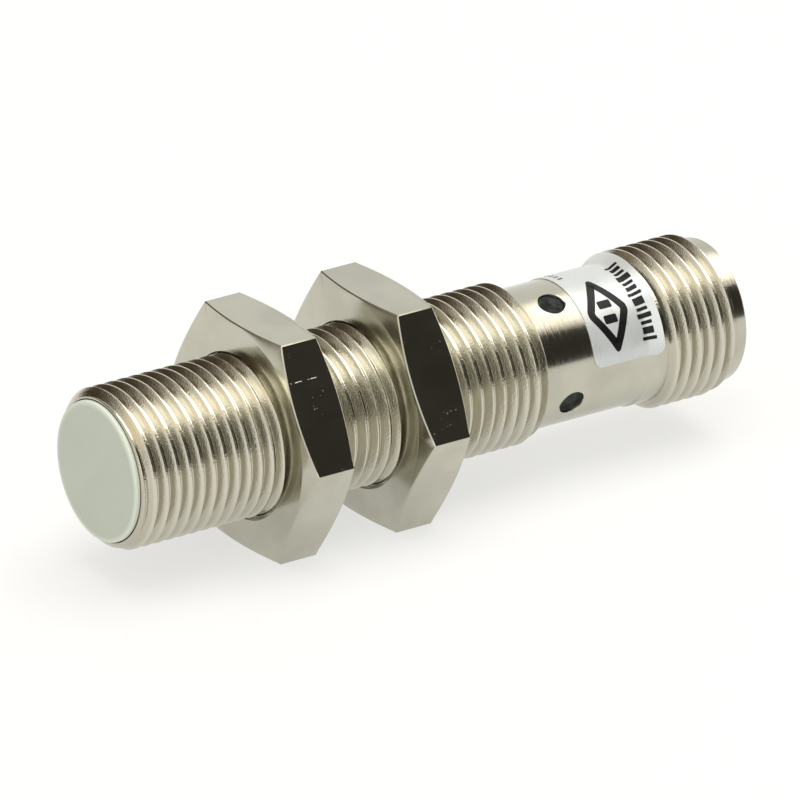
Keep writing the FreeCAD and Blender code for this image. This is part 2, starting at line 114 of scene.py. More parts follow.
def grain(tree, place, size, stretch=(1, 1, 1), detail=3.0):
    """Noise whose grains are about a size across, drawn out where the stretch is small."""
    turned = place_node(tree, "ShaderNodeMapping", {"Vector": place, "Scale": stretch}).outputs[0]
    inputs = {"Vector": turned, "Scale": 1 / size, "Detail": detail}
    return place_node(tree, "ShaderNodeTexNoise", inputs).outputs[0]


def raise_surface(tree, shader, height, distance, under=None):
    """Feeds a bump into a shader, on top of another bump where one is given."""
    inputs = {"Height": height, "Distance": distance}
    if under is not None:
        inputs["Normal"] = under
    bump = place_node(tree, "ShaderNodeBump", inputs).outputs[0]
    tree.links.new(bump, shader.inputs["Normal"])
    return bump


table_paper, tree, shader = surface("table_paper", (0.24, 0.24, 0.237), 0.8)
shader.inputs["Emission Color"].default_value = (0.98, 0.98, 0.96, 1)
shader.inputs["Emission Strength"].default_value = 0.66
fibres = grain(tree, object_place(tree), 0.4 * MM)
raise_surface(tree, shader, fibres, 0.01 * MM)
wear(table, table_paper)

camera_aim = Vector((25.0 * MM, 0, 0))
camera_azimuth, camera_elevation = math.radians(-34.39), math.radians(23.62)
camera_roll = math.radians(0.31)
camera_distance = 0.933
slip_right, slip_down = -0.00092, -0.00043
level_right = Vector((math.cos(camera_azimuth), math.sin(camera_azimuth), 0))
back = Vector(
    (
        math.sin(camera_azimuth) * math.cos(camera_elevation),
        -math.cos(camera_azimuth) * math.cos(camera_elevation),
        math.sin(camera_elevation),
    )
)
level_up = back.cross(level_right)
right = level_right * math.cos(camera_roll) + level_up * math.sin(camera_roll)
up = level_up * math.cos(camera_roll) - level_right * math.sin(camera_roll)
camera_place = camera_aim + back * camera_distance - right * slip_right + up * slip_down
lens = bpy.data.cameras.new("camera")
lens.lens = 583.0
lens.clip_start, lens.clip_end = 0.01, 20
camera = bpy.data.objects.new("camera", lens)
scene.collection.objects.link(camera)
camera.matrix_world = Matrix.Translation(camera_place) @ Matrix((right, up, back)).transposed().to_4x4()
scene.camera = camera

# The studio is painted on the sky by direction: azimuth runs from +X towards +Y, in degrees.
world = bpy.data.worlds.new("studio")
scene.world = world
world.use_nodes = True
sky = world.node_tree
sky.nodes.clear()
direction = place_node(sky, "ShaderNodeTexCoord").outputs["Generated"]
sky_x, sky_y, sky_z = place_node(sky, "ShaderNodeSeparateXYZ", {0: direction}).outputs
azimuth = calculate(sky, "DEGREES", calculate(sky, "ARCTAN2", sky_y, sky_x))
elevation = calculate(sky, "DEGREES", calculate(sky, "ARCSINE", sky_z))


def panel(middle, width, low, high, soft_side, soft_low, soft_high):
    """How much a panel between two elevations, around a middle azimuth, covers a direction."""
    turned = calculate(sky, "SUBTRACT", azimuth, middle + 180)
    turned = calculate(sky, "SUBTRACT", calculate(sky, "FLOORED_MODULO", turned, 360.0), 180.0)
    across = spread(sky, calculate(sky, "ABSOLUTE", turned), width / 2 + soft_side, width / 2)
    bottom = spread(sky, elevation, low - soft_low, low)
    top = spread(sky, elevation, high + soft_high, high)
    return calculate(sky, "MULTIPLY", calculate(sky, "MULTIPLY", across, bottom), top)


# Each row: middle, width, low, high, soft side, soft low, soft high, colour. In order: the dark room
# in front, the brown room behind, a warm lamp at the sensing end and the dark under it, a brown
# ceiling and wall behind, and bright sheets high on the right, at the plug end and front left.
PANELS = (
    (-55, 62, -90, 42, 8, 1, 14, (0.040, 0.037, 0.030)),
    (125, 55, -90, 24, 8, 1, 8, (0.085, 0.065, 0.042)),
    (170, 24, 6, 26, 5, 2, 5, (1.45, 1.20, 0.86)),
    (178, 30, -90, 3, 4, 1, 2, (0.05, 0.04, 0.03)),
    (90, 110, 62, 90, 6, 4, 1, (0.32, 0.23, 0.14)),
    (108, 60, 32, 66, 8, 6, 6, (0.28, 0.20, 0.12)),
    (-10, 88, 47, 68, 8, 5, 5, (1.9, 1.76, 1.58)),
    (2, 30, 0, 42, 8, 3, 6, (1.9, 1.86, 1.75)),
    (-128, 44, 4, 46, 8, 4, 8, (1.8, 1.76, 1.65)),
)
sky_colour = (0.95, 0.95, 0.92, 1)
for middle, width, low, high, soft_side, soft_low, soft_high, tint in PANELS:
    cover = panel(middle, width, low, high, soft_side, soft_low, soft_high)
    sky_colour = blend_colours(sky, cover, sky_colour, (*tint, 1))
seen = place_node(sky, "ShaderNodeLightPath").outputs["Is Camera Ray"]
plain = blend_colours(sky, seen, sky_colour, (0.95, 0.95, 0.94, 1))
glow = place_node(sky, "ShaderNodeBackground", {0: plain, 1: 1.0}).outputs[0]
place_node(sky, "ShaderNodeOutputWorld", {0: glow})

overhead = bpy.data.lights.new("overhead", "AREA")
overhead.shape = "RECTANGLE"
overhead.size, overhead.size_y = 1.2, 0.9
overhead.energy = 9
overhead_lamp = bpy.data.objects.new("overhead", overhead)
overhead_lamp.location = (0.1, -0.1, 1.1)
scene.collection.objects.link(overhead_lamp)

# ------------------------------------------------------------------ housing barrel
# One tube turned from brass bar and nickel plated: the M12 x 1 front thread, a plain sleeve with
# four window holes, and the plug thread with its collar. Both threads are cut as true helices.
PITCH = 1.0 * MM
CREST = barrel_high.z
DEPTH = 0.613 * MM
STEPS = 72


def choose(*pieces):
    """Selects only these pieces, the first of them active."""
    bpy.ops.object.select_all(action="DESELECT")
    for piece in pieces:
        piece.select_set(True)
    bpy.context.view_layer.objects.active = pieces[0]


def edit(piece, kind="VERT"):
    """Opens a piece for editing with everything in it selected."""
    choose(piece)
    bpy.ops.object.mode_set(mode="EDIT")
    bpy.ops.mesh.select_mode(type=kind)
    bpy.ops.mesh.select_all(action="SELECT")


def new_piece(name):
    """Names the piece just made, and gives it."""
    piece = bpy.context.object
    piece.name = name
    piece.data.name = name
    return piece


def settle(piece):
    """Works a piece's place, turn and scale into its mesh."""
    choose(piece)
    bpy.ops.object.transform_apply(location=True, rotation=True, scale=True)


def draw_line(name, points):
    """Draws an open line in the XY plane by extruding a vertex from point to point."""
    bpy.ops.mesh.primitive_plane_add(size=MM, location=(0, 0, 0))
    piece = new_piece(name)
    edit(piece)
    bpy.ops.mesh.merge(type="CENTER")
    bpy.ops.transform.translate(value=(*points[0], 0))
    for (x0, y0), (x1, y1) in zip(points, points[1:]):
        bpy.ops.mesh.extrude_vertices_move(
            TRANSFORM_OT_translate={"value": (x1 - x0, y1 - y0, 0)}
        )
    return piece


def turn(name, points, steps=STEPS * 2):
    """Turns a line from axis to axis about X into a closed solid."""
    piece = draw_line(name, points)
    bpy.ops.mesh.select_all(action="SELECT")
    bpy.ops.mesh.spin(steps=steps, angle=2 * math.pi, center=(0, 0, 0), axis=(1, 0, 0))
    bpy.ops.mesh.select_all(action="SELECT")
    bpy.ops.mesh.remove_doubles(threshold=1e-7)
    bpy.ops.mesh.normals_make_consistent(inside=False)
    bpy.ops.object.mode_set(mode="OBJECT")
    return piece


def rounded(points, radius, corner_steps=4):
    """The same outline with its inner corners rounded, all alike or each to its own radius."""
    result = [points[0]]
    radii = radius if isinstance(radius, tuple) else (radius,) * (len(points) - 2)
    for before, corner, after, corner_radius in zip(points, points[1:], points[2:], radii):
        corner_v = Vector(corner)
        to_before, to_after = Vector(before) - corner_v, Vector(after) - corner_v
        angle = to_before.angle(to_after)
        if angle > math.radians(179):
            continue
        longest = min(to_before.length, to_after.length) * 0.45
        reach = min(corner_radius / math.tan(angle / 2), longest)
        start = corner_v + to_before.normalized() * reach
        end = corner_v + to_after.normalized() * reach
        for step in range(corner_steps + 1):
            t = step / corner_steps
            place = start.lerp(corner_v, t).lerp(corner_v.lerp(end, t), t)
            result.append((place.x, place.y))
    result.append(points[-1])
    return result


def apply_modifier(piece, kind, **settings):
    """Adds a modifier, sets it up and applies it."""
    choose(piece)
    modifier = piece.modifiers.new(kind.lower(), kind)
    for name, value in settings.items():
        setattr(modifier, name, value)
    bpy.ops.object.modifier_apply(modifier=modifier.name)


def carve(piece, cutter, operation="DIFFERENCE"):
    """Cuts a piece with another solid, and throws the cutter away."""
    apply_modifier(piece, "BOOLEAN", operation=operation, object=cutter, solver="MANIFOLD")
    bpy.data.objects.remove(cutter, do_unlink=True)


def thread_form(start, crest_radius, depth):
    """One pitch of the 60 degree form, from groove bottom to groove bottom, its corners rounded."""
    half_flat = PITCH / 16
    crest_round, root_round = 0.08 * MM, 0.14 * MM
    half_root = PITCH / 2 - half_flat - depth * math.tan(math.radians(30))
    middle = start + PITCH / 2
    root_radius = crest_radius - depth
    line = [
        (start, root_radius),
        (start + half_root, root_radius),
        (middle - half_flat, crest_radius),
        (middle + half_flat, crest_radius),
        (start + PITCH - half_root, root_radius),
        (start + PITCH, root_radius),
    ]
    return rounded(line, (root_round, crest_round, crest_round, root_round), 2)


def select_open_edges():
    """Selects the edges that have only one face."""
    bpy.ops.mesh.select_all(action="DESELECT")
    bpy.ops.mesh.select_non_manifold(
        extend=False, use_wire=False, use_boundary=True, use_multi_face=False,
        use_non_contiguous=False, use_verts=False,
    )


def threaded_bar(name, start, turns, crest_radius, depth, low_end, high_end):
    """An open-ended bar with a right-hand thread whose grooves run out at both ends."""
    run_out = 0.3
    bar = draw_line(name, thread_form(start, crest_radius, depth))
    bpy.ops.object.mode_set(mode="OBJECT")
    apply_modifier(
        bar, "SCREW", axis="X", angle=2 * math.pi, screw_offset=PITCH, iterations=turns,
        steps=STEPS, render_steps=STEPS, use_smooth_shade=False,
    )
    edit(bar)
    bpy.ops.mesh.remove_doubles(threshold=1e-6)
    bpy.ops.object.mode_set(mode="OBJECT")
    for vertex in bar.data.vertices:
        x, y, z = vertex.co
        radius = math.hypot(y, z)
        angle = (math.atan2(z, y) / (2 * math.pi)) % 1.0
        along = (x - start) / PITCH
        turned = angle + math.floor(along - angle + 1e-4)
        fade = min(1.0, max(0.0, turned / run_out), max(0.0, (turns - turned) / run_out))
        new_radius = crest_radius - (crest_radius - radius) * fade
        vertex.co.y *= new_radius / radius
        vertex.co.z *= new_radius / radius
    edit(bar, "EDGE")
    middle = start + turns * PITCH / 2
    for end, side in ((low_end, -1), (high_end, 1)):
        select_open_edges()
        bar_mesh = bmesh.from_edit_mesh(bar.data)
        for edge in bar_mesh.edges:
            if edge.select and (edge.verts[0].co.x - middle) * side < 0:
                edge.select_set(False)
        bar_mesh.select_flush_mode()
        bmesh.update_edit_mesh(bar.data)
        bpy.ops.mesh.extrude_edges_move(TRANSFORM_OT_translate={"value": (side * MM, 0, 0)})
        bpy.ops.transform.resize(value=(0, 1, 1), center_override=(end, 0, 0))
        bpy.ops.mesh.remove_doubles(threshold=1e-6)
    bpy.ops.object.mode_set(mode="OBJECT")
    return bar


def close_ends(piece):
    """Fills the open ends of a bar."""
    edit(piece, "EDGE")
    bpy.ops.mesh.remove_doubles(threshold=2e-6)
    select_open_edges()
    bpy.ops.mesh.edge_face_add()
    bpy.ops.mesh.select_all(action="SELECT")
    bpy.ops.mesh.normals_make_consistent(inside=False)
    bpy.ops.object.mode_set(mode="OBJECT")


def join(pieces):
    """Joins pieces into the first one."""
    choose(*pieces)
    bpy.ops.object.join()
    return pieces[0]


def smooth(piece, degrees):
    """Shades a piece smoothly across edges that turn less than an angle."""
    choose(piece)
    bpy.ops.object.shade_smooth_by_angle(angle=math.radians(degrees))


def aim(piece, station, angle):
    """Turns a piece made along X to point outwards at a station, the angle from +Y up towards +Z."""
    outwards = Matrix.Rotation(-math.pi / 2, 4, "Y")
    around = Matrix.Rotation(math.radians(angle - 90), 4, "X")
    piece.matrix_world = Matrix.Translation((station, 0, 0)) @ around @ outwards
    settle(piece)


rim_at = barrel_low.x
rim_radius, sleeve_radius, collar_radius = 5.4 * MM, 5.25 * MM, 5.4 * MM
front_thread_end, sleeve_start = 34.9 * MM, 35.5 * MM
cone_start, plug_thread_start = 44.3 * MM, 45.6 * MM
collar_start = 51.75 * MM
window_at, window_radius, window_mouth = 37.9 * MM, 1.0 * MM, 1.12 * MM
WINDOW_ANGLES = (113.5, 203.5, 293.5, 23.5)
clear_of_crests = CREST + 0.3 * MM
front_groove_start, front_turns = -1.79 * MM, 39
plug_groove_start, plug_turns = 45.55 * MM, 8
stock_start, middle_seam, stock_end = -3 * MM, 40 * MM, 56 * MM

front_bar = threaded_bar(
    "barrel", front_groove_start, front_turns, CREST, DEPTH, stock_start, middle_seam
)
plug_bar = threaded_bar(
    "plug_bar", plug_groove_start, plug_turns, CREST, DEPTH, middle_seam, stock_end
)
barrel = join([front_bar, plug_bar])
close_ends(barrel)

rim_chamfer = CREST - rim_radius
skin = [
    (rim_at, 0),
    (rim_at, rim_radius),
    (rim_at + rim_chamfer, CREST),
    (rim_at + rim_chamfer + 0.1 * MM, clear_of_crests),
    (front_thread_end - 0.1 * MM, clear_of_crests),
    (front_thread_end, CREST),
    (sleeve_start, sleeve_radius),
    (cone_start, sleeve_radius),
    (plug_thread_start, CREST),
    (plug_thread_start + 0.3 * MM, clear_of_crests),
    (collar_start - 0.4 * MM, clear_of_crests),
    (collar_start, collar_radius),
    (sensor_end, collar_radius),
    (sensor_end, 0),
]
carve(barrel, turn("skin", rounded(skin, 0.12 * MM)), "INTERSECT")
cap_bore, tube_bore, plug_bore = 4.8 * MM, 4.6 * MM, 4.85 * MM
cap_bore_end, plug_bore_start = 8.4 * MM, 44.6 * MM
crevice_radius, mouth_radius = 5.29 * MM, 5.2 * MM
bore = [
    (-1 * MM, 0),
    (-1 * MM, crevice_radius),
    (rim_at + 0.1 * MM, crevice_radius),
    (rim_at + 0.25 * MM, 5.1 * MM),
    (rim_at + 0.25 * MM, cap_bore),
    (cap_bore_end, cap_bore),
    (cap_bore_end, tube_bore),
    (plug_bore_start, tube_bore),
    (plug_bore_start, plug_bore),
    (sensor_end - 0.25 * MM, plug_bore),
    (sensor_end + 0.1 * MM, mouth_radius),
    (sensor_end + 1 * MM, mouth_radius),
    (sensor_end + 1 * MM, 0),
]
carve(barrel, turn("bore", bore))
drill_tip = 3 * MM
drill = [
    (drill_tip, 0),
    (drill_tip, window_radius),
    (sleeve_radius - 0.12 * MM, window_radius),
    (sleeve_radius - 0.05 * MM, window_radius + 0.03 * MM),
    (sleeve_radius, window_mouth),
    (sleeve_radius + 0.5 * MM, window_mouth + 0.2 * MM),
    (sleeve_radius + 0.5 * MM, 0),
]
for window_angle in WINDOW_ANGLES:
    cutter = turn("drill", drill, 48)
    aim(cutter, window_at, window_angle)
    carve(barrel, cutter)
smooth(barrel, 28)


def distance_from_axis(tree, place):
    """How far a place is from the sensor's axis."""
    side, level = place_node(tree, "ShaderNodeSeparateXYZ", {0: place}).outputs[1:]
    across = place_node(tree, "ShaderNodeCombineXYZ", {1: side, 2: level}).outputs[0]
    return place_node(tree, "ShaderNodeVectorMath", {0: across}, operation="LENGTH").outputs["Value"]


# Nickel over brass: faint clouds of tone, turning lines that are plain on the sleeve, and a grainy
# skin that shows most on the threads. The threads also carry painted light and shade: their crests
# are coloured lighter than the sleeve and their grooves darker.
NICKEL, DULL_NICKEL = (0.525, 0.512, 0.430), (0.465, 0.452, 0.378)
CREST_LIT_NICKEL, GROOVE_SHADED_NICKEL = (0.605, 0.580, 0.490), (0.505, 0.480, 0.398)
barrel_plating, tree, shader = surface("barrel_plating", NICKEL, 0.16, 1.0)
place = object_place(tree)
along = place_node(tree, "ShaderNodeSeparateXYZ", {0: place}).outputs[0]
on_sleeve = calculate(
    tree, "MULTIPLY", spread(tree, along, front_thread_end, sleeve_start),
    spread(tree, along, plug_thread_start + 0.3 * MM, plug_thread_start - 0.2 * MM),
)
on_collar = spread(tree, along, collar_start - 0.3 * MM, collar_start)
on_sleeve = calculate(tree, "MAXIMUM", on_sleeve, on_collar)
clouds = grain(tree, place, 4 * MM)
plain_tone = blend_colours(tree, spread(tree, clouds, 0.35, 0.7), (*NICKEL, 1), (*DULL_NICKEL, 1))
# Painted shade and highlight: the colour darkens from the crests down into the grooves, and the crests
# are lighter.
groove = spread(tree, distance_from_axis(tree, place), CREST - 0.05 * MM, CREST - 0.3 * MM)
thread_painted_shade = blend_colours(tree, groove, (*CREST_LIT_NICKEL, 1), (*GROOVE_SHADED_NICKEL, 1))
toned = blend_colours(tree, on_sleeve, thread_painted_shade, plain_tone)
tree.links.new(toned, shader.inputs["Base Color"])
rings = grain(tree, place, 0.07 * MM, (1, 0.03, 0.03), 2.0)
ring_sheen = spread(tree, rings, 0.3, 0.75, 0.12, 0.22)
thread_sheen = spread(tree, rings, 0.3, 0.75, 0.10, 0.16)
roughness = place_node(tree, "ShaderNodeMix", {0: on_sleeve, 2: thread_sheen, 3: ring_sheen})
tree.links.new(roughness.outputs[0], shader.inputs["Roughness"])
ring_height = calculate(tree, "MULTIPLY", rings, spread(tree, on_sleeve, 0, 1, 0.35, 1.0))
lines = raise_surface(tree, shader, ring_height, 0.009 * MM)
skin_grain = grain(tree, place, 0.12 * MM, (1, 1, 1), 2.0)
grain_height = calculate(tree, "MULTIPLY", skin_grain, spread(tree, on_sleeve, 0, 1, 1.0, 0.1))
raise_surface(tree, shader, grain_height, 0.017 * MM, lines)
wear(barrel, barrel_plating)
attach(barrel, "sensor")
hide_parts("housing_barrel")

# ------------------------------------------------------------------ sensing cap
# The grey-green plastic cup that covers the coil: its flat face is the sensing face, and its
# skirt is pressed into the tube. It is moulded, so its edge is softly rounded.
cap_radius, cap_face_thick = 5.2 * MM, 0.6 * MM
skirt_radius, skirt_inside, skirt_end = 4.78 * MM, 4.4 * MM, 8.2 * MM
cap_outline = [
    (0, 0),
    (0, cap_radius),
    (rim_at, cap_radius),
    (rim_at, skirt_radius),
    (skirt_end, skirt_radius),
    (skirt_end, skirt_inside),
    (cap_face_thick, skirt_inside),
    (cap_face_thick, 0),
]
face_edge = rounded(cap_outline[:3], 0.32 * MM, 8)
cap = turn("sensing_cap_moulding", face_edge + cap_outline[3:])
smooth(cap, 40)

cap_plastic, tree, shader = surface("cap_plastic", (0.535, 0.56, 0.475), 0.5)
place = object_place(tree)
clouds = grain(tree, place, 3 * MM)
toned = blend_colours(
    tree, spread(tree, clouds, 0.3, 0.7), (0.445, 0.485, 0.42, 1), (0.43, 0.47, 0.405, 1)
)
radius = distance_from_axis(tree, place)
# Painted highlight: the colour turns lighter towards the rounded rim of the face, where light catches
# it.
edge = spread(tree, radius, cap_radius - 0.45 * MM, cap_radius - 0.1 * MM)
painted_rim_highlight = blend_colours(tree, edge, toned, (0.58, 0.62, 0.54, 1))
tree.links.new(painted_rim_highlight, shader.inputs["Base Color"])
raise_surface(tree, shader, grain(tree, place, 0.15 * MM), 0.004 * MM)
wear(cap, cap_plastic)
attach(cap, "sensor")
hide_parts("sensing_cap")

# ------------------------------------------------------------------ window lenses
# Four little plugs of dark clear resin that show the lamps inside. They are cast in their holes,
# so each sits a little below the tube, with a slightly dished top.
lens_radius, lens_edge, lens_middle = 0.99 * MM, 5.04 * MM, 4.97 * MM
lens_outline = [
    (tube_bore, 0),
    (tube_bore, lens_radius),
    (lens_edge, lens_radius),
    (5.03 * MM, 0.75 * MM),
    (4.99 * MM, 0.40 * MM),
    (lens_middle, 0),
]


def copy_of(piece, name):
    """A copy of a piece with its own mesh."""
    twin = piece.copy()
    twin.data = piece.data.copy()
    twin.name = name
    twin.data.name = name
    scene.collection.objects.link(twin)
    return twin


first_lens = turn("window_lens_1", rounded(lens_outline, 0.06 * MM), 40)
smooth(first_lens, 50)
lens_resin, tree, shader = surface("lens_resin", (0.012, 0.020, 0.015), 0.05)
shader.inputs["IOR"].default_value = 1.18
place = object_place(tree)
mottled = blend_colours(
    tree, spread(tree, grain(tree, place, 0.6 * MM), 0.4, 0.75),
    (0.004, 0.008, 0.006, 1), (0.028, 0.034, 0.026, 1),
)
tree.links.new(mottled, shader.inputs["Base Color"])
raise_surface(tree, shader, grain(tree, place, 0.5 * MM), 0.03 * MM)
wear(first_lens, lens_resin)
lens_pieces = [first_lens] + [copy_of(first_lens, f"window_lens_{n}") for n in (2, 3, 4)]
for window_lens, window_angle in zip(lens_pieces, WINDOW_ANGLES):
    aim(window_lens, window_at, window_angle)
    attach(window_lens, "sensor")
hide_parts("window_lenses")

# ------------------------------------------------------------------ rating label
# A silvered plastic film, die cut with round corners, stuck round the sleeve with its rear edge
# riding up the cone. It is not quite flat on the metal, so it shines in soft waves.
film = 0.06 * MM
label_start, label_end = 39.6 * MM, 45.4 * MM
label_low, label_wrap = 3.5, 170.0
label_long = math.radians(label_wrap) * (sleeve_radius + film)
cone_rise = (CREST - sleeve_radius) / (plug_thread_start - cone_start)


def flat_patch(name, x_low, x_high, arc_low, arc_high, corner, steps):
    """A flat patch: x along the sensor, y the distance round the sleeve, its corners rounded."""
    middle = ((x_low + x_high) / 2, (arc_low + arc_high) / 2, 0)
    bpy.ops.mesh.primitive_plane_add(size=1, location=middle)
    patch = new_piece(name)
    patch.scale = (x_high - x_low, arc_high - arc_low, 1)
    settle(patch)
    edit(patch)
    bpy.ops.mesh.bevel(offset=corner, segments=steps, affect="VERTICES")
    bpy.ops.object.mode_set(mode="OBJECT")
    return patch


def wrap_on_sleeve(patch, lift, thick):
    """Cuts a flat patch into narrow strips, wraps it round the sleeve and cone, and thickens it."""
    places = [vertex.co.copy() for vertex in patch.data.vertices]
    arc_low, arc_high = min(p.y for p in places), max(p.y for p in places)
    x_low, x_high = min(p.x for p in places), max(p.x for p in places)
    strip, cone_strip, sleeve_strip = 0.2 * MM, 0.22 * MM, 0.8 * MM
    arcs = [strip * n for n in range(1, 90)]
    cuts = [((0, arc, 0), (0, 1, 0)) for arc in arcs if arc_low < arc < arc_high]
    stations = [cone_start + cone_strip * n for n in range(-3, 6)]
    stations += [label_start + sleeve_strip * n for n in range(1, 5)]
    cuts += [((x, 0, 0), (1, 0, 0)) for x in stations if x_low < x < x_high]
    edit(patch)
    for point, normal in cuts:
        bpy.ops.mesh.select_all(action="SELECT")
        bpy.ops.mesh.bisect(plane_co=point, plane_no=normal)
    bpy.ops.object.mode_set(mode="OBJECT")
    for vertex in patch.data.vertices:
        past_cone = max(0.0, vertex.co.x - cone_start)
        radius = sleeve_radius + cone_rise * past_cone + lift
        angle = math.radians(label_low) + vertex.co.y / (sleeve_radius + film)
        vertex.co.y = -radius * math.cos(angle)
        vertex.co.z = radius * math.sin(angle)
    edit(patch)
    bpy.ops.mesh.normals_make_consistent(inside=False)
    bpy.ops.object.mode_set(mode="OBJECT")
    if patch.data.polygons[0].normal.dot(patch.data.polygons[0].center) < 0:
        patch.data.flip_normals()
    apply_modifier(patch, "SOLIDIFY", thickness=thick, offset=-1)
    smooth(patch, 40)


label = flat_patch("label_film", label_start, label_end, 0, label_long, 0.75 * MM, 6)
wrap_on_sleeve(label, film, film + 0.03 * MM)
label_film, tree, shader = surface("label_film", (0.55, 0.575, 0.57), 0.35, 0.3)
WAVE_SIZE, WAVE_STRETCH, WAVE_HEIGHT = 2.2 * MM, (1, 0.6, 0.6), 0.10 * MM
waves = grain(tree, object_place(tree), WAVE_SIZE, WAVE_STRETCH, 1.0)
tree.links.new(spread(tree, waves, 0.3, 0.7, 0.22, 0.38), shader.inputs["Roughness"])
raise_surface(tree, shader, waves, WAVE_HEIGHT)
wear(label, label_film)
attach(label, "sensor")
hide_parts("rating_label")

# ------------------------------------------------------------------ label print
# Black ink on the film. It carries only plain marks: a diamond frame round two bars, a row of
# strokes beside it, and four small ticks. Each is a thin layer of ink with rounded corners.
ink, ink_sink = 0.012 * MM, 0.004 * MM
DEGREE = math.radians(1) * (sleeve_radius + film)


def arc_of(angle):
    """The distance round the sleeve of an angle above level."""
    return (angle - label_low) * DEGREE


def ink_diamond(name, x, angle, half_wide, half_long, stroke):
    """A diamond frame that stands on one corner."""
    bpy.ops.mesh.primitive_circle_add(vertices=4, radius=1, fill_type="NGON", location=(0, 0, 0))
    mark = new_piece(name)
    mark.location = (x, arc_of(angle), 0)
    mark.scale = (half_wide, half_long, 1)
    settle(mark)
    edit(mark)
    bpy.ops.mesh.bevel(offset=0.45 * MM, segments=5, affect="VERTICES")
    bpy.ops.mesh.select_mode(type="FACE")
    bpy.ops.mesh.select_all(action="SELECT")
    bpy.ops.mesh.inset(thickness=stroke)
    bpy.ops.mesh.delete(type="FACE")
    bpy.ops.object.mode_set(mode="OBJECT")
    return mark


diamond_at, diamond_angle = 41.75 * MM, 46
half_wide, half_long, frame_stroke = 1.8 * MM, 3.3 * MM, 0.6 * MM
marks = [
    ink_diamond("label_print", diamond_at, diamond_angle, half_wide, half_long, frame_stroke)
]
bar_start, bar_end, bar_half_wide, bar_turn = 41.2 * MM, 42.3 * MM, 0.33 * MM, 6.5
for bar_angle in (diamond_angle - bar_turn, diamond_angle + bar_turn):
    low, high = arc_of(bar_angle) - bar_half_wide, arc_of(bar_angle) + bar_half_wide
    marks.append(flat_patch("bar", bar_start, bar_end, low, high, 0.12 * MM, 3))

STROKES = (0.25, 0.5, 0.25, 0.35, 0.25, 0.6, 0.25, 0.35, 0.25, 0.5, 0.25, 0.35, 0.25)
stroke_row, stroke_gap = 44.5 * MM, 0.2
short_reach, long_reach = 0.42 * MM, 0.55 * MM
first_stroke_angle, first_tick_angle = 16, 92
low = arc_of(first_stroke_angle)
for number, stroke in enumerate(STROKES):
    reach = short_reach if number % 3 else long_reach
    x_low, x_high = stroke_row - reach, stroke_row + reach * 0.8
    marks.append(flat_patch("stroke", x_low, x_high, low, low + stroke * MM, 0.05 * MM, 2))
    low += (stroke + stroke_gap) * MM

tick_start, tick_end, tick_wide, tick_step = 40.1 * MM, 40.5 * MM, 0.2 * MM, 0.55 * MM
for number in range(4):
    low = arc_of(first_tick_angle) + number * tick_step
    marks.append(flat_patch("tick", tick_start, tick_end, low, low + tick_wide, 0.04 * MM, 2))
label_print = join(marks)
wrap_on_sleeve(label_print, film + ink - ink_sink, ink)
print_ink, tree, shader = surface("print_ink", (0.006, 0.006, 0.007), 0.4)
shader.inputs["Specular IOR Level"].default_value = 0.2
place = object_place(tree)
tree.links.new(
    spread(tree, grain(tree, place, 0.3 * MM), 0.3, 0.7, 0.28, 0.45), shader.inputs["Roughness"]
)
waves = grain(tree, place, WAVE_SIZE, WAVE_STRETCH, 1.0)
raise_surface(tree, shader, waves, WAVE_HEIGHT)
wear(label_print, print_ink)
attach(label_print, "sensor")

# ------------------------------------------------------------------ hexagon nuts
# Two M12 x 1 nuts, cut from hexagon bar, chamfered on both faces, tapped and nickel plated.
# The bores run just clear of the barrel's crests, so the nuts can travel along it.
across_flats, nut_thick = 17.0 * MM, 4.0 * MM
nut_face_radius, nut_corner_drop = 8.35 * MM, 0.5 * MM
nut_bore, nut_mouth = 6.06 * MM, 6.12 * MM
nut_corner = across_flats / math.sqrt(3)
front_at, rear_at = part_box("front_nut")[0].x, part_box("rear_nut")[0].x

bpy.ops.mesh.primitive_cylinder_add(
    vertices=6, radius=nut_corner, depth=nut_thick, location=(front_at + nut_thick / 2, 0, 0),
    rotation=(0, math.pi / 2, 0),
)
front_nut = new_piece("front_nut_plated")
settle(front_nut)
nut_end = front_at + nut_thick
past_corner = nut_corner + 1 * MM
chamfer_long = nut_corner_drop * (past_corner - nut_face_radius) / (nut_corner - nut_face_radius)
chamfers = [
    (front_at, 0),
    (front_at, nut_face_radius),
    (front_at + chamfer_long, past_corner),
    (nut_end - chamfer_long, past_corner),
    (nut_end, nut_face_radius),
    (nut_end, 0),
]
carve(front_nut, turn("chamfers", chamfers), "INTERSECT")
apply_modifier(
    front_nut, "BEVEL", width=0.07 * MM, segments=2, limit_method="ANGLE",
    angle_limit=math.radians(15),
)
worn_corner = nut_corner - 0.01 * MM
corner_trim = [
    (front_at - 1 * MM, 0),
    (front_at - 1 * MM, worn_corner),
    (nut_end + 1 * MM, worn_corner),
    (nut_end + 1 * MM, 0),
]
carve(front_nut, turn("corner_trim", corner_trim), "INTERSECT")
tap_groove_start, tap_turns, tap_depth = front_at - 3.17 * MM, 9, 0.3 * MM
tap = threaded_bar(
    "tap", tap_groove_start, tap_turns, nut_bore + tap_depth, tap_depth,
    front_at - 4 * MM, nut_end + 4 * MM,
)
close_ends(tap)
carve(front_nut, tap)
sink_deep = 0.06 * MM
sink_slope = (nut_mouth - nut_bore) / sink_deep
countersinks = [
    (front_at - 1 * MM, 0),
    (front_at - 1 * MM, nut_mouth + sink_slope * MM),
    (front_at + sink_deep, nut_bore),
    (nut_end - sink_deep, nut_bore),
    (nut_end + 1 * MM, nut_mouth + sink_slope * MM),
    (nut_end + 1 * MM, 0),
]
carve(front_nut, turn("countersinks", countersinks))
smooth(front_nut, 12)

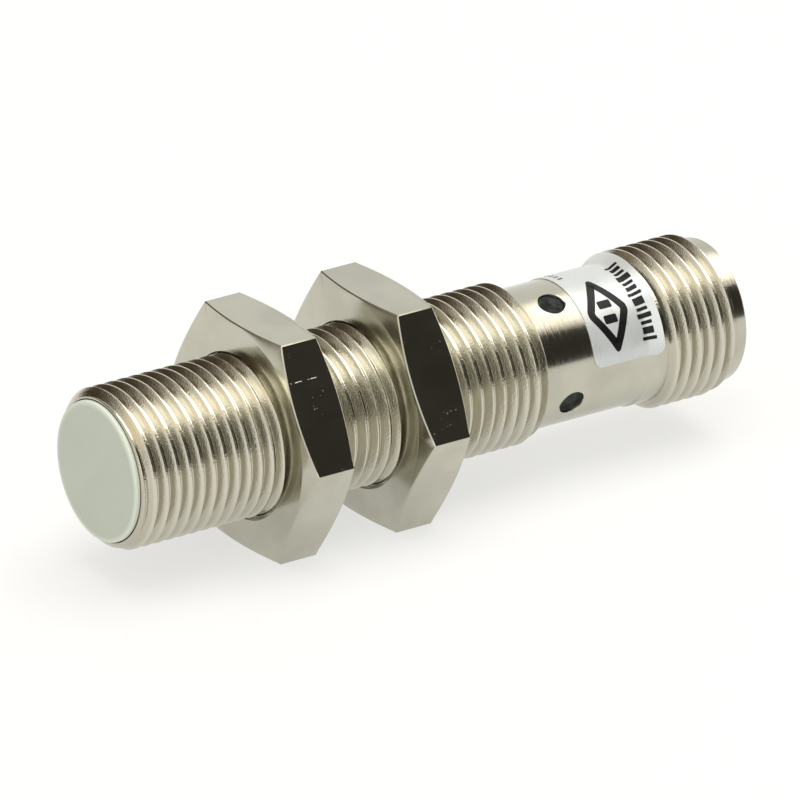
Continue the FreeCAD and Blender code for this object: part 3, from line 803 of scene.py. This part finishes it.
nut_plating, tree, shader = surface("nut_plating", NICKEL, 0.14, 1.0)
place = object_place(tree)
along, side, level = place_node(tree, "ShaderNodeSeparateXYZ", {0: place}).outputs
radius = distance_from_axis(tree, place)
lathe_place = place_node(tree, "ShaderNodeCombineXYZ", {0: along, 1: radius}).outputs[0]
clouds = grain(tree, place, 5 * MM)
toned = blend_colours(tree, spread(tree, clouds, 0.35, 0.7), (*NICKEL, 1), (*DULL_NICKEL, 1))
tree.links.new(toned, shader.inputs["Base Color"])
lines = grain(tree, lathe_place, 0.08 * MM, (0.03, 1, 1), 2.0)
tree.links.new(spread(tree, lines, 0.3, 0.75, 0.145, 0.17), shader.inputs["Roughness"])
specks = spread(tree, grain(tree, place, 0.15 * MM, (1, 1.13, 0.91)), 0.69, 0.76)
patches = spread(tree, grain(tree, place, 2.0 * MM), 0.50, 0.62)
dents = calculate(tree, "MULTIPLY", specks, patches)
scratch_level, scratch_half_wide = 6.1 * MM, 0.025 * MM
off_line = calculate(tree, "ABSOLUTE", calculate(tree, "SUBTRACT", level, scratch_level))
broken = spread(tree, grain(tree, place, 0.3 * MM), 0.47, 0.56)
scratch = calculate(tree, "MULTIPLY", spread(tree, off_line, scratch_half_wide, 0.0), broken)
scratch_limits = (
    (along, nut_end - 0.6 * MM, nut_end - 1.4 * MM),
    (along, front_at + 0.3 * MM, front_at + 0.5 * MM),
    (side, 0, -1 * MM),
)
for value, none, full in scratch_limits:
    scratch = calculate(tree, "MULTIPLY", scratch, spread(tree, value, none, full))
raise_surface(tree, shader, calculate(tree, "ADD", dents, scratch), 0.012 * MM)
wear(front_nut, nut_plating)
rear_nut = copy_of(front_nut, "rear_nut_plated")
rear_nut.location.x = rear_at - front_at
settle(rear_nut)
for nut, body in ((front_nut, "front_nut"), (rear_nut, "rear_nut")):
    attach(nut, body)
    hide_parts(body)

# ------------------------------------------------------------------ plug insert
# The black moulding in the plug end: a deep round socket with one key at the top, and a floor
# that holds the four pins. It is pushed in from behind, over its seal.
insert_start, insert_floor, insert_end = 41.0 * MM, 44.8 * MM, 52.7 * MM
insert_radius, insert_wall, socket_radius = 4.58 * MM, 4.83 * MM, 4.3 * MM
seal_start, seal_end, seal_groove = 42.2 * MM, 43.2 * MM, 3.7 * MM
insert_outline = [
    (insert_start, 0),
    (insert_start, insert_radius),
    (seal_start, insert_radius),
    (seal_start, seal_groove),
    (seal_end, seal_groove),
    (seal_end, insert_radius),
    (plug_bore_start, insert_radius),
    (plug_bore_start, insert_wall),
    (insert_end, insert_wall),
    (insert_end, socket_radius),
    (insert_floor, socket_radius),
    (insert_floor, 0),
]
insert = turn("plug_insert", rounded(insert_outline, 0.08 * MM))
key_wide, key_tall, key_level = 1.3 * MM, 0.86 * MM, 4.0 * MM
bpy.ops.mesh.primitive_cube_add(size=1, location=(0, 0, 0))
key = new_piece("key")
key.location = ((insert_floor + insert_end) / 2 - 0.15 * MM, 0, key_level)
key.scale = (insert_end - insert_floor, key_wide, key_tall)
settle(key)
apply_modifier(key, "BEVEL", width=0.12 * MM, segments=3)
carve(insert, key, "UNION")
pin_radius, pin_circle = 0.5 * MM, 2.5 * MM
PIN_OFFSET = pin_circle * math.sqrt(0.5)
PIN_PLACES = ((1, 1), (-1, 1), (-1, -1), (1, -1))
hole_outline = [(40 * MM, 0), (40 * MM, pin_radius), (54 * MM, pin_radius), (54 * MM, 0)]
for across, upward in PIN_PLACES:
    hole = turn("pin_hole", hole_outline, 32)
    hole.location = (0, across * PIN_OFFSET, upward * PIN_OFFSET)
    settle(hole)
    carve(insert, hole)
smooth(insert, 35)
insert_plastic, tree, shader = surface("insert_plastic", (0.022, 0.022, 0.023), 0.45)
place = object_place(tree)
tree.links.new(
    spread(tree, grain(tree, place, 0.4 * MM), 0.3, 0.7, 0.36, 0.52), shader.inputs["Roughness"]
)
raise_surface(tree, shader, grain(tree, place, 0.12 * MM), 0.006 * MM)
wear(insert, insert_plastic)
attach(insert, "sensor")
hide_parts("contact_carrier")

# ------------------------------------------------------------------ contact pins
# Four turned brass pins with a gold flash, pressed through the insert's floor. Each ends in a
# rounded nose, a little inside the mouth of the socket.
pin_start, pin_nose, pin_end = 40.4 * MM, 51.6 * MM, 52.0 * MM
pin_outline = [
    (pin_start, 0),
    (pin_start, pin_radius),
    (pin_nose, pin_radius),
    (pin_end, pin_radius / 2),
    (pin_end, 0),
]
first_pin = turn("plug_pin_1", rounded(pin_outline, 0.2 * MM), 32)
smooth(first_pin, 40)
pin_gold, tree, shader = surface("pin_gold", (0.83, 0.62, 0.25), 0.2, 1.0)
place = object_place(tree)
rings = grain(tree, place, 0.06 * MM, (1, 0.05, 0.05), 2.0)
tree.links.new(spread(tree, rings, 0.3, 0.7, 0.15, 0.28), shader.inputs["Roughness"])
raise_surface(tree, shader, rings, 0.002 * MM)
wear(first_pin, pin_gold)
pins = [first_pin] + [copy_of(first_pin, f"plug_pin_{n}") for n in (2, 3, 4)]
for number, (pin, (across, upward)) in enumerate(zip(pins, PIN_PLACES), start=1):
    pin.location = (0, across * PIN_OFFSET, upward * PIN_OFFSET)
    settle(pin)
    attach(pin, "sensor")
    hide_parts(f"contact_pin_{number}")

# ------------------------------------------------------------------ inner pieces
# The coil, core, board, its components, the light guide, wires, seal and resin stay as they are in
# the frame, out of sight in the tube. Each gets the finish of its own material.
INNER = {
    # colour, second colour, roughness, metal, grain size in mm, grain height in mm
    "ferrite_core": ((0.06, 0.06, 0.065), (0.11, 0.11, 0.115), 0.7, 0.0, 0.2, 0.02),
    "coil_bobbin": ((0.80, 0.77, 0.66), (0.74, 0.71, 0.60), 0.5, 0.0, 0.3, 0.01),
    "coil_winding": ((0.68, 0.28, 0.12), (0.50, 0.18, 0.07), 0.3, 1.0, 0.1, 0.03),
    "coil_leads": ((0.68, 0.28, 0.12), (0.50, 0.18, 0.07), 0.3, 1.0, 0.2, 0.005),
    "core_holder": ((0.03, 0.03, 0.03), (0.05, 0.05, 0.05), 0.5, 0.0, 0.3, 0.01),
    "circuit_board": ((0.02, 0.16, 0.07), (0.03, 0.22, 0.10), 0.35, 0.0, 0.5, 0.01),
    "oscillator_chip": ((0.02, 0.02, 0.02), (0.035, 0.035, 0.035), 0.6, 0.0, 0.15, 0.01),
    "tantalum_capacitor": ((0.72, 0.46, 0.06), (0.62, 0.38, 0.05), 0.4, 0.0, 0.3, 0.01),
    "output_transistor": ((0.02, 0.02, 0.02), (0.035, 0.035, 0.035), 0.6, 0.0, 0.15, 0.01),
    "protection_diode": ((0.02, 0.02, 0.02), (0.035, 0.035, 0.035), 0.6, 0.0, 0.15, 0.01),
    "ceramic_capacitors": ((0.50, 0.37, 0.25), (0.42, 0.30, 0.19), 0.5, 0.0, 0.1, 0.01),
    "chip_resistors": ((0.03, 0.03, 0.035), (0.06, 0.06, 0.065), 0.4, 0.0, 0.2, 0.01),
    "indicator_leds": ((0.90, 0.78, 0.32), (0.80, 0.66, 0.24), 0.2, 0.0, 0.3, 0.01),
    "light_guide": ((0.80, 0.84, 0.82), (0.72, 0.78, 0.75), 0.15, 0.0, 0.8, 0.01),
    "insert_seal": ((0.035, 0.035, 0.035), (0.05, 0.05, 0.05), 0.65, 0.0, 0.2, 0.01),
    "contact_wires": ((0.68, 0.28, 0.12), (0.50, 0.18, 0.07), 0.3, 1.0, 0.2, 0.005),
    "potting_resin": ((0.07, 0.07, 0.07), (0.11, 0.11, 0.11), 0.3, 0.0, 1.5, 0.03),
}
for node_name, (colour, second, rough, metal, size, height) in INNER.items():
    finish, tree, shader = surface(f"{node_name}_finish", colour, rough, metal)
    place = object_place(tree)
    grains = grain(tree, place, size * MM)
    mixed = blend_colours(tree, spread(tree, grains, 0.35, 0.65), (*colour, 1), (*second, 1))
    tree.links.new(mixed, shader.inputs["Base Color"])
    dulled = spread(tree, grains, 0.3, 0.7, rough * 0.85, rough * 1.15)
    tree.links.new(dulled, shader.inputs["Roughness"])
    raise_surface(tree, shader, grains, height * MM)
    for slot in nodes[node_name].material_slots:
        slot.material = finish
